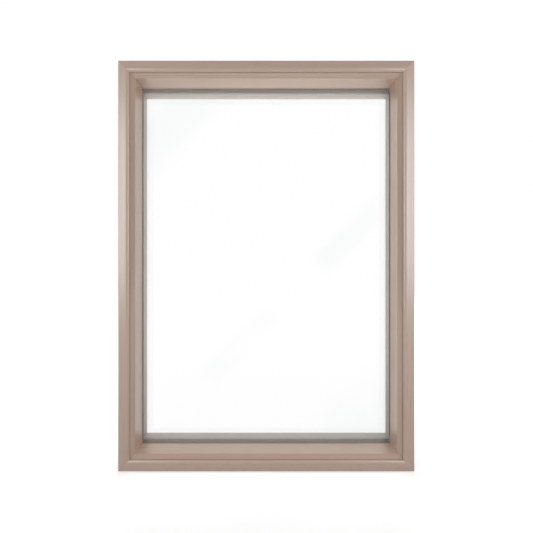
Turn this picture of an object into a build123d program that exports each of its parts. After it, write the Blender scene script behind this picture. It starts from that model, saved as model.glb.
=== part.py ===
from build123d import *
from math import cos, radians, sin, tan
import os

# Fixed double-glazed sauna window: a mitred, moulded front frame on a rebated box frame.
# Millimetres. The front faces -Y, +X is to the right seen from the front, +Z is up.
# The origin is in the middle of the underside. In every section u runs inwards from the
# outer edge of the frame and d runs back from the front plane.

# Overall size
WIDTH = 505.0
HEIGHT = 700.0
DEPTH = 102.0

# Front moulding: lip falling away to the outer edge in two planes, rounded inner edge that
# ends in a narrow groove, chamfer and straight reveal
SIGHT = 26.0
LIP_WIDTH = 13.4
LIP_CREST = 11.2
LIP_FALL = 1.0
CREST_FALL = 0.13
OUTER_ROUND = 0.6
INNER_ROUND = 7.2
GROOVE_WIDTH = 1.2
GROOVE_DEPTH = 0.6
CHAMFER_ANGLE = 49.0
MOULDING_DEPTH = 31.0

# Box frame: slightly splayed glass stop in front, thin wall around the glass unit behind
STOP_THICKNESS = 18.5
STOP_SPLAY = 1.2
REBATE_WALL = 14.0

# Double-glazed unit and its seals: the unit stands further in at the head and the sill
SIDE_CLEARANCE = 3.0
RAIL_CLEARANCE = 6.5
PANE_THICKNESS = 4.0
CAVITY = 12.0
SPACER_SETBACK = 2.5
SPACER_WIDTH = 4.8
GASKET_THICKNESS = 2.0
GASKET_WIDTH = 7.0
GASKET_SHOW = 1.5
TAPE_THICKNESS = 2.0
TAPE_SETBACK = 0.8

# Rear glazing beads: the ones along the head and the sill are the wider
SIDE_BEAD_WIDTH = 8.3
RAIL_BEAD_WIDTH = 14.2
BEAD_RECESS = 4.0

# Lines across the section
RAIL_GLASS = REBATE_WALL + RAIL_CLEARANCE
SIDE_GLASS = REBATE_WALL + SIDE_CLEARANCE
RAIL_BEAD = REBATE_WALL + RAIL_BEAD_WIDTH
SIDE_BEAD = REBATE_WALL + SIDE_BEAD_WIDTH
GLASS_EDGE = {"top": RAIL_GLASS, "bottom": RAIL_GLASS, "left": SIDE_GLASS, "right": SIDE_GLASS}
BEAD_INNER = {"top": RAIL_BEAD, "bottom": RAIL_BEAD, "left": SIDE_BEAD, "right": SIDE_BEAD}
STOP_EDGE = SIGHT + STOP_SPLAY
GASKET_INNER = STOP_EDGE + GASKET_SHOW
GASKET_OUTER = GASKET_INNER - GASKET_WIDTH

# Planes through the depth, front to back
STOP_FACE = MOULDING_DEPTH + STOP_THICKNESS
FRONT_PANE_FACE = STOP_FACE + GASKET_THICKNESS
CAVITY_FRONT = FRONT_PANE_FACE + PANE_THICKNESS
CAVITY_BACK = CAVITY_FRONT + CAVITY
REAR_PANE_BACK = CAVITY_BACK + PANE_THICKNESS
BEAD_FRONT = REAR_PANE_BACK + TAPE_THICKNESS
BEAD_BACK = DEPTH - BEAD_RECESS

# Each side's section plane: u inwards, d to the back, extruded along the side's length
FRONT = -DEPTH / 2
INWARDS = {"left": (1, 0, 0), "right": (-1, 0, 0), "bottom": (0, 0, 1), "top": (0, 0, -1)}
ALONG = {"left": (0, 0, 1), "right": (0, 0, -1), "bottom": (-1, 0, 0), "top": (1, 0, 0)}
START = {
    "left": (-WIDTH / 2, FRONT, 0),
    "right": (WIDTH / 2, FRONT, HEIGHT),
    "bottom": (WIDTH / 2, FRONT, 0),
    "top": (-WIDTH / 2, FRONT, HEIGHT),
}
LENGTH = {"left": HEIGHT, "right": HEIGHT, "bottom": WIDTH, "top": WIDTH}
SIDES = ("top", "bottom", "left", "right")


def section_plane(side, trim=0.0):
    """Section plane of one side, moved along the side by trim."""
    along = Vector(*ALONG[side])
    return Plane(origin=Vector(*START[side]) + along * trim, x_dir=INWARDS[side], z_dir=along)


def mitre_planes(side):
    """The two mitre cuts of one side, each facing the part that is kept."""
    inwards = Vector(*INWARDS[side])
    along = Vector(*ALONG[side])
    start = Vector(*START[side])
    end = start + along * LENGTH[side]
    return Plane(start, z_dir=along - inwards), Plane(end, z_dir=-along - inwards)


def butt_trims(rail_ends, side_ends):
    """Trims of four lengths that butt: the side lengths stand between those at head and sill."""
    return {"top": rail_ends, "bottom": rail_ends, "left": side_ends, "right": side_ends}


def rectangle(u_low, u_high, d_low, d_high):
    """Rectangle between two lines u and two lines d of the open section sketch."""
    with Locations(((u_low + u_high) / 2, (d_low + d_high) / 2)):
        Rectangle(u_high - u_low, d_high - d_low)


def save(part, name):
    part.label = name
    export_step(part, f"parts/{name}.step")


os.makedirs("parts", exist_ok=True)

# Front moulding, mitred at the corners
turn = radians(CHAMFER_ANGLE)
lip_edge = (LIP_WIDTH, 0)
chamfer_start = (LIP_WIDTH + INNER_ROUND * sin(turn), INNER_ROUND * (1 - cos(turn)))
chamfer_end = (SIGHT, chamfer_start[1] + (SIGHT - chamfer_start[0]) * tan(turn))
groove_end = (chamfer_start[0] + GROOVE_WIDTH, chamfer_start[1] + GROOVE_WIDTH * tan(turn))
groove_floor = groove_end[1] + GROOVE_DEPTH
groove = (chamfer_start, (chamfer_start[0], groove_floor), (groove_end[0], groove_floor), groove_end)
for side in SIDES:
    with BuildPart() as moulding:
        with BuildSketch(section_plane(side)):
            with BuildLine():
                Line((0, MOULDING_DEPTH), (0, LIP_FALL + OUTER_ROUND))
                RadiusArc((0, LIP_FALL + OUTER_ROUND), (OUTER_ROUND, LIP_FALL), -OUTER_ROUND)
                Polyline((OUTER_ROUND, LIP_FALL), (LIP_CREST, CREST_FALL), lip_edge)
                TangentArc(lip_edge, chamfer_start, tangent=(1, 0))
                Polyline(*groove, chamfer_end, (SIGHT, MOULDING_DEPTH), (0, MOULDING_DEPTH))
            make_face()
        extrude(amount=LENGTH[side])
        for cut in mitre_planes(side):
            split(bisect_by=cut, keep=Keep.TOP)
    save(moulding.part, f"front_moulding_{side}")

# Box frame behind it: a stop for the glass, then the wall of the rebate
BOX_NAMES = {
    "top": "frame_head",
    "bottom": "frame_sill",
    "left": "frame_left_jamb",
    "right": "frame_right_jamb",
}
stop_corners = ((0, MOULDING_DEPTH), (SIGHT, MOULDING_DEPTH), (STOP_EDGE, STOP_FACE))
wall_corners = ((REBATE_WALL, STOP_FACE), (REBATE_WALL, DEPTH), (0, DEPTH))
for side in SIDES:
    with BuildPart() as board:
        with BuildSketch(section_plane(side)):
            with BuildLine():
                Polyline(*stop_corners, *wall_corners, close=True)
            make_face()
        extrude(amount=LENGTH[side])
        for cut in mitre_planes(side):
            split(bisect_by=cut, keep=Keep.TOP)
    save(board.part, BOX_NAMES[side])

# Front gasket, showing past the stop as a line around the glass
for side in SIDES:
    with BuildPart() as gasket:
        with BuildSketch(section_plane(side)):
            rectangle(GASKET_OUTER, GASKET_INNER, STOP_FACE, FRONT_PANE_FACE)
        extrude(amount=LENGTH[side])
        for cut in mitre_planes(side):
            split(bisect_by=cut, keep=Keep.TOP)
    save(gasket.part, f"front_gasket_{side}")

# The two panes
PANE_FACES = {"front_pane": FRONT_PANE_FACE, "rear_pane": CAVITY_BACK}
for name, face in PANE_FACES.items():
    with BuildPart() as pane:
        with BuildSketch(Plane((0, FRONT + face, HEIGHT / 2), x_dir=(1, 0, 0), z_dir=(0, 1, 0))):
            Rectangle(WIDTH - 2 * SIDE_GLASS, HEIGHT - 2 * RAIL_GLASS)
        extrude(amount=PANE_THICKNESS)
    save(pane.part, name)

# Spacer bars between the panes, set back from the edge of the glass
SPACER_OUTER = {side: GLASS_EDGE[side] + SPACER_SETBACK for side in SIDES}
SPACER_INNER = {side: SPACER_OUTER[side] + SPACER_WIDTH for side in SIDES}
SPACER_TRIM = butt_trims(SPACER_OUTER["left"], SPACER_INNER["top"])
for side in SIDES:
    with BuildPart() as spacer:
        with BuildSketch(section_plane(side, SPACER_TRIM[side])):
            rectangle(SPACER_OUTER[side], SPACER_INNER[side], CAVITY_FRONT, CAVITY_BACK)
        extrude(amount=LENGTH[side] - 2 * SPACER_TRIM[side])
    save(spacer.part, f"spacer_{side}")

# Glazing tape behind the rear pane
TAPE_INNER = {side: BEAD_INNER[side] - TAPE_SETBACK for side in SIDES}
TAPE_TRIM = butt_trims(SIDE_GLASS, TAPE_INNER["top"])
for side in SIDES:
    with BuildPart() as tape:
        with BuildSketch(section_plane(side, TAPE_TRIM[side])):
            rectangle(GLASS_EDGE[side], TAPE_INNER[side], REAR_PANE_BACK, BEAD_FRONT)
        extrude(amount=LENGTH[side] - 2 * TAPE_TRIM[side])
    save(tape.part, f"glazing_tape_{side}")

# Rear glazing beads in the rebate
BEAD_TRIM = butt_trims(REBATE_WALL, RAIL_BEAD)
for side in SIDES:
    with BuildPart() as bead:
        with BuildSketch(section_plane(side, BEAD_TRIM[side])):
            rectangle(REBATE_WALL, BEAD_INNER[side], BEAD_FRONT, BEAD_BACK)
        extrude(amount=LENGTH[side] - 2 * BEAD_TRIM[side])
    save(bead.part, f"rear_bead_{side}")
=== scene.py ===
import math

import bpy
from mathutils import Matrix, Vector


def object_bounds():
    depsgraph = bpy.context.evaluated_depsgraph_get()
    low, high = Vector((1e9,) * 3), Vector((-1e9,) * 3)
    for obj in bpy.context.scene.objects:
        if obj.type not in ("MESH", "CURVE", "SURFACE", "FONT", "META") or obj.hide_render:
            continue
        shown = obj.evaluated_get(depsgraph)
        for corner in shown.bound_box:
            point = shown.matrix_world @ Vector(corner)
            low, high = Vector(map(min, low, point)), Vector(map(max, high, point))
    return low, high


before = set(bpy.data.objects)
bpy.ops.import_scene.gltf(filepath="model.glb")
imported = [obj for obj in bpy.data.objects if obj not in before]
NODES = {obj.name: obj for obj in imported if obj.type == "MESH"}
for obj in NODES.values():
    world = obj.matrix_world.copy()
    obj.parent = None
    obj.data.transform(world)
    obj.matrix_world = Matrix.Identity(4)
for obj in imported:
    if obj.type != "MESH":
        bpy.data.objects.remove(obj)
cad_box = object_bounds()
low, high = cad_box
centre = (low + high) / 2
SIDES = ("top", "bottom", "left", "right")
BOX_NODES = {
    "top": "frame_head",
    "bottom": "frame_sill",
    "left": "frame_left_jamb",
    "right": "frame_right_jamb",
}

# The photograph: square picture, camera square to the front, place and width of the outline in it
IMAGE_PX = 533
OUTLINE_PX = 295.89
OUTLINE_CENTRE_PX = (266.24, 265.99)
CAMERA_DISTANCE = 0.700
OUTLINE_DEPTH = 0.0022
SENSOR_MM = 36.0

# Colours, linear
WHITE = (1, 1, 1, 1)
WOOD_DARK = (0.410, 0.278, 0.212, 1)
WOOD_MID = (0.466, 0.325, 0.252, 1)
WOOD_PALE = (0.510, 0.364, 0.288, 1)
SEAL_COLOUR = (0.300, 0.262, 0.245, 1)
TAPE_COLOUR = (0.55, 0.53, 0.50, 1)
SPACER_DARK = (0.140, 0.121, 0.107, 1)
SPACER_PALE = (0.190, 0.164, 0.146, 1)
BEAD_COLOUR = (0.410, 0.376, 0.350, 1)
GLASS_PASSES = (0.970, 0.975, 0.972, 1)
GLASS_CLEAR = (0.998, 1.0, 0.999, 1)
# painted reflection: the glass's colour where the sheen is painted on it
GLASS_PAINTED_SHEEN = (0.966, 0.981, 0.974, 1)

# Surfaces: refraction, and roughness in the dark and the pale spots of their texture
LACQUER_IOR = 2.0
GLASS_IOR = 1.5
WOOD_ROUGHNESS = (0.32, 0.26)
RUBBER_ROUGHNESS = (0.55, 0.65)
SPACER_ROUGHNESS = (0.42, 0.34)
BEAD_ROUGHNESS = (0.32, 0.40)
SPACER_METALLIC = 0.4

# Textures: the noise mostly fills this range; repeats per metre, those of the grain across and along it
NOISE_RANGE = (0.3, 0.7)
FINE_GRAIN = (420.0, 5.0)
BROAD_GRAIN = (70.0, 0.9)
FINE_GRAIN_SHARE = 0.42
RUBBER_SPECKS = 900.0
RUBBER_CONTRAST = 0.20
SPACER_STREAKS = (6.0, 900.0, 6.0)
LACQUER_PEEL = 260.0
LACQUER_CONTRAST = 0.05
SHEEN_PATCHES = 7.0

# Eased edges, in metres
BOARD_EDGE = 0.00015
GASKET_EDGE = 0.0004
BEAD_EDGE = 0.0006
SHARP_ANGLE = 40

# Painted reflection on the glass, a faint sheen painted into its colour: a slanting streak broken in the
# middle, and two corners, as (place, strength) along and across the slant, where 0 and 1 are this far from
# the middle of the glass
SHEEN_ALONG = (0.7071, 0.0, 0.7071)
SHEEN_ACROSS = (0.7071, 0.0, -0.7071)
SHEEN_REACH = 0.40
SHEEN_CORNERS = ((0.04, 0.0), (0.08, 0.8), (0.15, 0.6), (0.19, 0.0), (0.81, 0.0), (0.86, 0.6), (0.99, 1.0))
SHEEN_STREAK = ((0.550, 0.0), (0.573, 0.6), (0.602, 0.6), (0.625, 0.0))
SHEEN_BREAKS = ((0.20, 0.0), (0.24, 1.0), (0.42, 1.0), (0.46, 0.0), (0.57, 0.0), (0.61, 1.0))
SHEEN_FAINTEST = 0.3

# White surroundings: as light they are brighter in front of the window than behind it, and mirrored
# they are dimmer in front, at the sides and overhead; each change runs between two directions
FILL_FRONT = 0.48
FILL_BACK = 0.02
FILL_CHANGE = (-0.3, 0.3)
GLOSS_FRONT = 0.90
GLOSS_FRONT_CHANGE = (-0.4, 0.1)
GLOSS_SIDES = 0.25
GLOSS_SIDES_CHANGE = (0.70, 0.95)
GLOSS_OVERHEAD = 0.45
GLOSS_OVERHEAD_CHANGE = (0.45, 0.80)

# Floor: white where it is seen; close to the window its glow is lower, a painted shade that also lets the
# lamps' real shadow show, and its reflection is dimmed with painted shade; both end this far from the
# window
FLOOR_HALF = 4.0
FLOOR_DROP = 0.0005
FLOOR_COLOUR = (0.60, 0.60, 0.60, 1)
FLOOR_ROUGHNESS = 0.9
SHADOW_REACH = (0.25, 0.90)
NEAR_GLOW = 0.55
NEAR_REFLECTION_SHADE = 0.65


def new_material(name):
    material = bpy.data.materials.new(name)
    material.use_nodes = True
    return material, material.node_tree.nodes, material.node_tree.links


def scaled_coordinates(nodes, links, scale):
    """Object coordinates, in metres, stretched by scale."""
    coordinates = nodes.new("ShaderNodeTexCoord")
    mapping = nodes.new("ShaderNodeMapping")
    mapping.inputs["Scale"].default_value = scale
    links.new(coordinates.outputs["Object"], mapping.inputs["Vector"])
    return mapping.outputs["Vector"]


def noise(nodes, links, scale, detail, roughness=0.5, distortion=0.0):
    """Noise with so many repeats per metre along each axis."""
    texture = nodes.new("ShaderNodeTexNoise")
    texture.inputs["Scale"].default_value = 1.0
    texture.inputs["Detail"].default_value = detail
    texture.inputs["Roughness"].default_value = roughness
    texture.inputs["Distortion"].default_value = distortion
    links.new(scaled_coordinates(nodes, links, scale), texture.inputs["Vector"])
    return texture.outputs["Fac"]


def ramp(nodes, links, factor, stops):
    """Colour ramp; stops is a list of (position, colour)."""
    node = nodes.new("ShaderNodeValToRGB")
    elements = node.color_ramp.elements
    while len(elements) < len(stops):
        elements.new(0.5)
    for element, (position, colour) in zip(elements, stops):
        element.position = position
        element.color = colour
    links.new(factor, node.inputs["Fac"])
    return node.outputs["Color"]


def level_ramp(nodes, links, factor, levels):
    """Ramp of plain numbers; levels is a list of (position, number)."""
    return ramp(nodes, links, factor, [(place, (level, level, level, 1)) for place, level in levels])


def map_range(nodes, links, value, low_in, high_in, low_out, high_out):
    node = nodes.new("ShaderNodeMapRange")
    limits = {"From Min": low_in, "From Max": high_in, "To Min": low_out, "To Max": high_out}
    for socket, number in limits.items():
        node.inputs[socket].default_value = number
    links.new(value, node.inputs["Value"])
    return node.outputs["Result"]


def maths(nodes, links, operation, first, second=None):
    """Maths node on one or two sockets, its result kept between 0 and 1."""
    node = nodes.new("ShaderNodeMath")
    node.operation = operation
    node.use_clamp = True
    links.new(first, node.inputs[0])
    if second is not None:
        links.new(second, node.inputs[1])
    return node.outputs[0]


def one_or(nodes, links, factor, other):
    """1 where factor is 0, and other where factor is 1."""
    node = nodes.new("ShaderNodeMix")
    node.inputs["A"].default_value = 1.0
    links.new(factor, node.inputs["Factor"])
    links.new(other, node.inputs["B"])
    return node.outputs["Result"]


def mixed_shader(nodes, links, factor, first, second, output):
    node = nodes.new("ShaderNodeMixShader")
    links.new(factor, node.inputs["Fac"])
    links.new(first, node.inputs[1])
    links.new(second, node.inputs[2])
    links.new(node.outputs["Shader"], output.inputs["Surface"])


def bump(nodes, links, height, strength, distance):
    node = nodes.new("ShaderNodeBump")
    node.inputs["Strength"].default_value = strength
    node.inputs["Distance"].default_value = distance
    links.new(height, node.inputs["Height"])
    return node.outputs["Normal"]


def two_tones(nodes, links, texture, colour, contrast):
    """A colour made darker and lighter by contrast, following a texture."""
    darker = [(1 - contrast) * channel for channel in colour[:3]] + [1]
    lighter = [(1 + contrast) * channel for channel in colour[:3]] + [1]
    return ramp(nodes, links, texture, list(zip(NOISE_RANGE, (darker, lighter))))


def wood_material(name, grain_axis):
    """Pale satin-lacquered wood with fine straight grain along one axis."""
    material, nodes, links = new_material(name)
    shader = nodes["Principled BSDF"]
    fine_scale = [FINE_GRAIN[0]] * 3
    fine_scale[grain_axis] = FINE_GRAIN[1]
    broad_scale = [BROAD_GRAIN[0]] * 3
    broad_scale[grain_axis] = BROAD_GRAIN[1]
    fine = noise(nodes, links, fine_scale, 4.0, 0.55)
    broad = noise(nodes, links, broad_scale, 3.0, distortion=0.3)
    mixed = nodes.new("ShaderNodeMix")
    mixed.inputs["Factor"].default_value = FINE_GRAIN_SHARE
    links.new(broad, mixed.inputs["A"])
    links.new(fine, mixed.inputs["B"])
    grain = mixed.outputs["Result"]
    colour = ramp(nodes, links, grain, [(0.30, WOOD_DARK), (0.50, WOOD_MID), (0.70, WOOD_PALE)])
    links.new(colour, shader.inputs["Base Color"])
    links.new(map_range(nodes, links, grain, *NOISE_RANGE, *WOOD_ROUGHNESS), shader.inputs["Roughness"])
    links.new(bump(nodes, links, fine, 0.05, 0.0004), shader.inputs["Normal"])
    shader.inputs["IOR"].default_value = LACQUER_IOR
    return material


def rubber_material(name, colour):
    """Matte rubber with a fine speckle."""
    material, nodes, links = new_material(name)
    shader = nodes["Principled BSDF"]
    specks = noise(nodes, links, [RUBBER_SPECKS] * 3, 3.0, 0.6)
    links.new(two_tones(nodes, links, specks, colour, RUBBER_CONTRAST), shader.inputs["Base Color"])
    links.new(map_range(nodes, links, specks, *NOISE_RANGE, *RUBBER_ROUGHNESS), shader.inputs["Roughness"])
    links.new(bump(nodes, links, specks, 0.1, 0.0002), shader.inputs["Normal"])
    return material


def slant_place(nodes, links, axis):
    """Place along one of the slanting axes of the painted sheen, from 0 to 1."""
    coordinates = nodes.new("ShaderNodeTexCoord")
    reach = nodes.new("ShaderNodeVectorMath")
    reach.operation = "DOT_PRODUCT"
    reach.inputs[1].default_value = axis
    links.new(coordinates.outputs["Object"], reach.inputs[0])
    middle = centre.dot(Vector(axis))
    start, end = middle - SHEEN_REACH, middle + SHEEN_REACH
    return map_range(nodes, links, reach.outputs["Value"], start, end, 0.0, 1.0)


def painted_sheen_strength(nodes, links):
    """Strength of the painted reflection (sheen) on the glass: its corners and its broken streak, both
    uneven.
    """
    across = slant_place(nodes, links, SHEEN_ACROSS)
    along = slant_place(nodes, links, SHEEN_ALONG)
    corners = level_ramp(nodes, links, across, SHEEN_CORNERS)
    streak = level_ramp(nodes, links, across, SHEEN_STREAK)
    breaks = level_ramp(nodes, links, along, SHEEN_BREAKS)
    bands = maths(nodes, links, "ADD", corners, maths(nodes, links, "MULTIPLY", streak, breaks))
    sheen_patches = noise(nodes, links, [SHEEN_PATCHES] * 3, 2.0)
    uneven = map_range(nodes, links, sheen_patches, 0.35, 0.65, SHEEN_FAINTEST, 1.0)
    return maths(nodes, links, "MULTIPLY", bands, uneven)


def glass_material(name):
    """Clear glass with a faint greenish sheen painted into its colour as a reflection, which lets the light
    of lamps straight through.
    """
    material, nodes, links = new_material(name)
    shader = nodes["Principled BSDF"]
    painted_sheen_mix = nodes.new("ShaderNodeMix")
    painted_sheen_mix.data_type = "RGBA"
    painted_sheen_mix.inputs["A"].default_value = GLASS_CLEAR
    painted_sheen_mix.inputs["B"].default_value = GLASS_PAINTED_SHEEN
    # painted reflection: the glass's colour turns to the sheen colour along the streak and in the corners
    links.new(painted_sheen_strength(nodes, links), painted_sheen_mix.inputs["Factor"])
    links.new(painted_sheen_mix.outputs["Result"], shader.inputs["Base Color"])
    shader.inputs["Roughness"].default_value = 0.0
    shader.inputs["IOR"].default_value = GLASS_IOR
    shader.inputs["Transmission Weight"].default_value = 1.0
    clear = nodes.new("ShaderNodeBsdfTransparent")
    clear.inputs["Color"].default_value = GLASS_PASSES
    rays = nodes.new("ShaderNodeLightPath").outputs
    lighting = maths(nodes, links, "MAXIMUM", rays["Is Shadow Ray"], rays["Is Diffuse Ray"])
    mixed_shader(nodes, links, lighting, shader.outputs[0], clear.outputs[0], nodes["Material Output"])
    return material


def spacer_material(name):
    """Bronze-grey anodised aluminium, streaked along the bars."""
    material, nodes, links = new_material(name)
    shader = nodes["Principled BSDF"]
    streaks = noise(nodes, links, SPACER_STREAKS, 3.0)
    colour = ramp(nodes, links, streaks, list(zip(NOISE_RANGE, (SPACER_DARK, SPACER_PALE))))
    links.new(colour, shader.inputs["Base Color"])
    links.new(map_range(nodes, links, streaks, *NOISE_RANGE, *SPACER_ROUGHNESS), shader.inputs["Roughness"])
    shader.inputs["Metallic"].default_value = SPACER_METALLIC
    return material


def lacquer_material(name, colour):
    """Opaque satin lacquer with a slightly uneven surface."""
    material, nodes, links = new_material(name)
    shader = nodes["Principled BSDF"]
    peel = noise(nodes, links, [LACQUER_PEEL] * 3, 2.0)
    links.new(two_tones(nodes, links, peel, colour, LACQUER_CONTRAST), shader.inputs["Base Color"])
    links.new(map_range(nodes, links, peel, *NOISE_RANGE, *BEAD_ROUGHNESS), shader.inputs["Roughness"])
    links.new(bump(nodes, links, peel, 0.04, 0.0004), shader.inputs["Normal"])
    return material


def dress(node_name, material, edge=0.0):
    """Gives a CAD node its material, and rounds its sharp edges."""
    piece = NODES[node_name]
    piece.data.materials.clear()
    piece.data.materials.append(material)
    if edge:
        weld = piece.modifiers.new("weld", "WELD")
        weld.merge_threshold = 1e-6
        bevel = piece.modifiers.new("eased_edges", "BEVEL")
        bevel.width = edge
        bevel.segments = 2
        bevel.limit_method = "ANGLE"
        bevel.angle_limit = math.radians(SHARP_ANGLE)
        bevel.harden_normals = True


def background_rays(nodes, links):
    """Sockets that are 1 for camera rays, for rays through glass, and for mirrored rays outside it."""
    rays = nodes.new("ShaderNodeLightPath").outputs
    through = rays["Is Transmission Ray"]
    mirrored = maths(nodes, links, "SUBTRACT", rays["Is Glossy Ray"], through)
    return rays["Is Camera Ray"], through, mirrored


def build_surroundings():
    """World that is white where it is seen, and otherwise a soft light from the front."""
    world = bpy.data.worlds.new("studio")
    bpy.context.scene.world = world
    world.use_nodes = True
    nodes, links = world.node_tree.nodes, world.node_tree.links
    direction = nodes.new("ShaderNodeTexCoord")
    axes = nodes.new("ShaderNodeSeparateXYZ")
    links.new(direction.outputs["Generated"], axes.inputs["Vector"])
    depthways, upwards = axes.outputs["Y"], axes.outputs["Z"]
    sideways = maths(nodes, links, "ABSOLUTE", axes.outputs["X"])

    fill = nodes["Background"]
    fill.inputs["Color"].default_value = WHITE
    fill_level = map_range(nodes, links, depthways, *FILL_CHANGE, FILL_FRONT, FILL_BACK)
    links.new(fill_level, fill.inputs["Strength"])

    front_level = map_range(nodes, links, depthways, *GLOSS_FRONT_CHANGE, GLOSS_FRONT, 1.0)
    side_level = map_range(nodes, links, sideways, *GLOSS_SIDES_CHANGE, 1.0, GLOSS_SIDES)
    overhead_level = map_range(nodes, links, upwards, *GLOSS_OVERHEAD_CHANGE, 1.0, GLOSS_OVERHEAD)
    around_level = maths(nodes, links, "MULTIPLY", front_level, side_level)
    mirrored_level = maths(nodes, links, "MULTIPLY", around_level, overhead_level)
    seen, through, mirrored = background_rays(nodes, links)
    shown = nodes.new("ShaderNodeBackground")
    shown.inputs["Color"].default_value = WHITE
    links.new(one_or(nodes, links, mirrored, mirrored_level), shown.inputs["Strength"])

    straight = maths(nodes, links, "MAXIMUM", seen, through)
    showing = maths(nodes, links, "MAXIMUM", straight, mirrored)
    mixed_shader(nodes, links, showing, fill.outputs[0], shown.outputs[0], nodes["World Output"])


def floor_material(name):
    """White floor that keeps a faint shadow close to the window, partly the lamps' real shadow and partly
    painted shade from a lower glow, and a dimmer reflection there, which is painted shade.
    """
    material, nodes, links = new_material(name)
    spot = nodes.new("ShaderNodeTexCoord")
    reach = nodes.new("ShaderNodeVectorMath")
    reach.operation = "LENGTH"
    links.new(spot.outputs["Object"], reach.inputs[0])
    distance = reach.outputs["Value"]
    seen, through, mirrored = background_rays(nodes, links)

    shaded = nodes["Principled BSDF"]
    shaded.inputs["Base Color"].default_value = FLOOR_COLOUR
    shaded.inputs["Roughness"].default_value = FLOOR_ROUGHNESS
    shaded.inputs["Emission Color"].default_value = WHITE
    # painted shade: the glow is lower close to the window, so the floor is darker there besides the lamps'
    # real shadow
    glow_with_painted_shade = map_range(nodes, links, distance, *SHADOW_REACH, NEAR_GLOW, 1.0)
    links.new(maths(nodes, links, "MULTIPLY", seen, glow_with_painted_shade), shaded.inputs["Emission Strength"])

    plain = nodes.new("ShaderNodeEmission")
    plain.inputs["Color"].default_value = WHITE
    # painted shade: the floor in reflections is dimmer close to the window
    shaded_reflection_level = map_range(nodes, links, distance, *SHADOW_REACH, NEAR_REFLECTION_SHADE, 1.0)
    links.new(one_or(nodes, links, mirrored, shaded_reflection_level), plain.inputs["Strength"])

    showing = maths(nodes, links, "MAXIMUM", through, mirrored)
    mixed_shader(nodes, links, showing, shaded.outputs[0], plain.outputs[0], nodes["Material Output"])
    return material


def build_floor():
    mesh = bpy.data.meshes.new("floor")
    corners = [(x * FLOOR_HALF, y * FLOOR_HALF, 0) for x, y in ((-1, -1), (1, -1), (1, 1), (-1, 1))]
    mesh.from_pydata(corners, [], [(0, 1, 2, 3)])
    mesh.materials.append(floor_material("floor_white"))
    floor = bpy.data.objects.new("floor", mesh)
    floor.location.z = -FLOOR_DROP
    bpy.context.scene.collection.objects.link(floor)


def area_light(name, position, target, width, height, watts, mirrored=True, spread=180):
    """Rectangular lamp aimed at target; mirrored says whether it shows in lacquer and glass."""
    data = bpy.data.lights.new(name, "AREA")
    data.shape = "RECTANGLE"
    data.size = width
    data.size_y = height
    data.energy = watts
    data.spread = math.radians(spread)
    light = bpy.data.objects.new(name, data)
    light.location = position
    light.rotation_euler = (Vector(target) - Vector(position)).to_track_quat("-Z", "Y").to_euler()
    light.visible_glossy = mirrored
    light.visible_transmission = mirrored
    bpy.context.scene.collection.objects.link(light)


# The window
rail_wood = wood_material("rail_wood", 0)
stile_wood = wood_material("stile_wood", 2)
seal_rubber = rubber_material("seal_rubber", SEAL_COLOUR)
tape_rubber = rubber_material("tape_rubber", TAPE_COLOUR)
clear_glass = glass_material("clear_glass")
spacer_metal = spacer_material("spacer_metal")
bead_lacquer = lacquer_material("bead_lacquer", BEAD_COLOUR)
for side in SIDES:
    wood = rail_wood if side in ("top", "bottom") else stile_wood
    dress(f"front_moulding_{side}", wood)
    dress(BOX_NODES[side], wood, BOARD_EDGE)
    dress(f"front_gasket_{side}", seal_rubber, GASKET_EDGE)
    dress(f"spacer_{side}", spacer_metal)
    dress(f"glazing_tape_{side}", tape_rubber)
    dress(f"rear_bead_{side}", bead_lacquer, BEAD_EDGE)
for pane in ("front_pane", "rear_pane"):
    dress(pane, clear_glass)

# White studio: softboxes in front, lamps at the sides, above and below behind the window
build_surroundings()
build_floor()
for name, hand in (("left", -1), ("right", 1)):
    area_light(f"softbox_{name}", (hand * 0.84, -1.25, 0.65), centre, 0.48, 0.90, 4.4)
    area_light(f"rear_{name}", (hand * 1.50, 0.50, 0.45), centre, 0.90, 0.90, 11.0, mirrored=False)
area_light("rear_top", (0.0, 0.75, 2.60), centre, 1.20, 0.60, 33.0, mirrored=False)
area_light("rear_floor", (0.0, 0.95, 0.004), (0.0, 0.95, 1.0), 2.40, 1.70, 21.0, mirrored=False, spread=100)

# Camera, square to the front
focal_px = OUTLINE_PX * (CAMERA_DISTANCE + OUTLINE_DEPTH) / (high.x - low.x)
camera_data = bpy.data.cameras.new("camera")
camera_data.sensor_width = SENSOR_MM
camera_data.lens = SENSOR_MM * focal_px / IMAGE_PX
camera_data.shift_x = (IMAGE_PX / 2 - OUTLINE_CENTRE_PX[0]) / IMAGE_PX
camera_data.shift_y = -(IMAGE_PX / 2 - OUTLINE_CENTRE_PX[1]) / IMAGE_PX
camera = bpy.data.objects.new("camera", camera_data)
camera.location = (centre.x, low.y - CAMERA_DISTANCE, centre.z)
camera.rotation_euler = (math.radians(90), 0, 0)
bpy.context.scene.collection.objects.link(camera)
bpy.context.scene.camera = camera
bpy.context.scene.view_settings.view_transform = "Standard"
